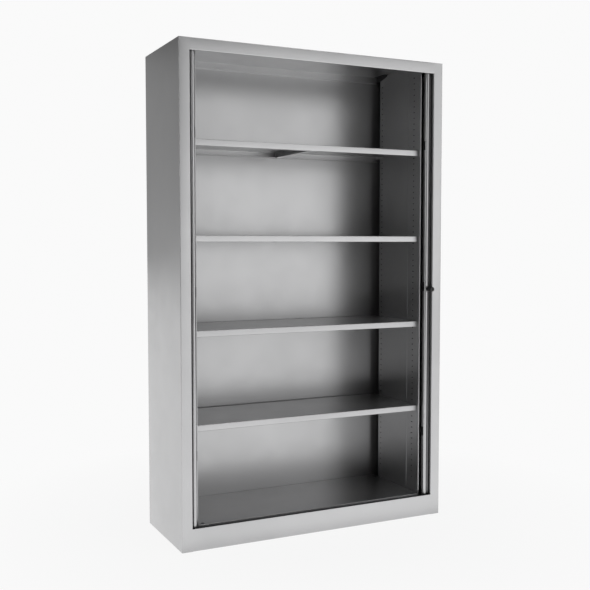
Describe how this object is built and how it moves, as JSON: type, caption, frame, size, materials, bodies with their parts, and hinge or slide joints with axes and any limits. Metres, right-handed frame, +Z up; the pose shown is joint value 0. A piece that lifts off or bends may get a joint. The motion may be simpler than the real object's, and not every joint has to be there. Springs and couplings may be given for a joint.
{
  "type": "roll front tool cabinet",
  "caption": "Tall steel cabinet with side-opening slatted roll fronts, hanging shelves in slotted uprights and a three-point lock.",
  "frame": {"origin": "on the standing surface, under the middle of the whole outline, lock knob included", "axes": "+X to the cabinet's right as seen from the front, +Y to its back, +Z up; the front faces -Y"},
  "size_m": [1.2, 0.4524, 1.98],
  "materials": {
    "body_paint": "light silver-grey semi-gloss powder coat",
    "stile_metal": "satin extrusion",
    "black_plastic": "moulded black plastic",
    "curtain_slat": "silver-grey slats with a soft sheen",
    "zinc_steel": "bright zinc",
    "lock_metal": "polished nickel"
  },
  "bodies": {
    "carcase": {"back_panel": "body_paint", "back_panel_screws": "zinc_steel", "base_deck": "body_paint", "bottom_front_track": "black_plastic", "floor_pan": "body_paint", "foot_nuts": "zinc_steel", "left_base_channel": "body_paint", "left_bottom_corner_track": "black_plastic", "left_curtain": "curtain_slat", "left_front_upright": "body_paint", "left_liner_panel": "body_paint", "left_rear_upright": "body_paint", "left_side_panel": "body_paint", "left_top_corner_track": "black_plastic", "plinth_front": "body_paint", "plinth_rear": "body_paint", "rear_top_brackets": "black_plastic", "rear_top_rail": "body_paint", "right_base_channel": "body_paint", "right_bottom_corner_track": "black_plastic", "right_curtain": "curtain_slat", "right_front_upright": "body_paint", "right_liner_panel": "body_paint", "right_rear_upright": "body_paint", "right_side_panel": "body_paint", "right_top_corner_track": "black_plastic", "shelf_1": "body_paint", "shelf_1_clips": "zinc_steel", "shelf_1_stiffener": "body_paint", "shelf_2": "body_paint", "shelf_2_clips": "zinc_steel", "shelf_2_stiffener": "body_paint", "shelf_3": "body_paint", "shelf_3_clips": "zinc_steel", "shelf_3_stiffener": "body_paint", "shelf_4": "body_paint", "shelf_4_clips": "zinc_steel", "shelf_4_stiffener": "body_paint", "top_front_track": "body_paint", "top_panel": "body_paint", "top_track_carrier": "body_paint"},
    "left_door": {"left_stile": "stile_metal", "left_stile_caps": "black_plastic", "left_slot_bezels": "black_plastic"},
    "right_door": {"right_stile": "stile_metal", "right_stile_caps": "black_plastic", "right_slot_bezels": "black_plastic", "lock_collar": "black_plastic", "hook_pivots": "zinc_steel", "lock_bar_guides": "black_plastic"},
    "lock_cylinder": {"lock_knob": "black_plastic", "lock_core": "lock_metal", "middle_hook": "zinc_steel"},
    "lock_linkage": {"lock_bar": "zinc_steel"},
    "upper_latch": {"upper_hook": "zinc_steel"},
    "lower_latch": {"lower_hook": "zinc_steel"},
    "foot_front_left": {"foot_front_left": "zinc_steel"},
    "foot_front_right": {"foot_front_right": "zinc_steel"},
    "foot_rear_left": {"foot_rear_left": "zinc_steel"},
    "foot_rear_right": {"foot_rear_right": "zinc_steel"}
  },
  "joints": [
    {"name": "left_door_slide", "type": "slide", "parent": "carcase", "child": "left_door", "axis": [1, 0, 0], "range_m": [0, 0.528], "deforming": ["left_curtain"]},
    {"name": "right_door_slide", "type": "slide", "parent": "carcase", "child": "right_door", "axis": [-1, 0, 0], "range_m": [0, 0.528], "deforming": ["right_curtain"]},
    {"name": "lock_turn", "type": "hinge", "parent": "right_door", "child": "lock_cylinder", "pos_m": [0.5435, -0.17825, 1.002], "axis": [0, -1, 0], "range_deg": [0, 90]},
    {"name": "lock_bar_slide", "type": "slide", "parent": "right_door", "child": "lock_linkage", "axis": [0, 0, -1], "range_m": [0, 0.00707]},
    {"name": "upper_hook_swing", "type": "hinge", "parent": "right_door", "child": "upper_latch", "pos_m": [0.5435, -0.17825, 1.616], "axis": [0, -1, 0], "range_deg": [0, 90]},
    {"name": "lower_hook_swing", "type": "hinge", "parent": "right_door", "child": "lower_latch", "pos_m": [0.5435, -0.17825, 0.36], "axis": [0, -1, 0], "range_deg": [0, 90]},
    {"name": "foot_front_left_screw", "type": "slide", "parent": "carcase", "child": "foot_front_left", "axis": [0, 0, -1], "range_m": [0, 0.015]},
    {"name": "foot_front_right_screw", "type": "slide", "parent": "carcase", "child": "foot_front_right", "axis": [0, 0, -1], "range_m": [0, 0.015]},
    {"name": "foot_rear_left_screw", "type": "slide", "parent": "carcase", "child": "foot_rear_left", "axis": [0, 0, -1], "range_m": [0, 0.015]},
    {"name": "foot_rear_right_screw", "type": "slide", "parent": "carcase", "child": "foot_rear_right", "axis": [0, 0, -1], "range_m": [0, 0.015]}
  ],
  "couplings": [
    {"joint": "lock_turn", "follows": "lock_bar_slide", "rad_per_m": 222.14},
    {"joint": "upper_hook_swing", "follows": "lock_bar_slide", "rad_per_m": 222.14},
    {"joint": "lower_hook_swing", "follows": "lock_bar_slide", "rad_per_m": 222.14}
  ]
}
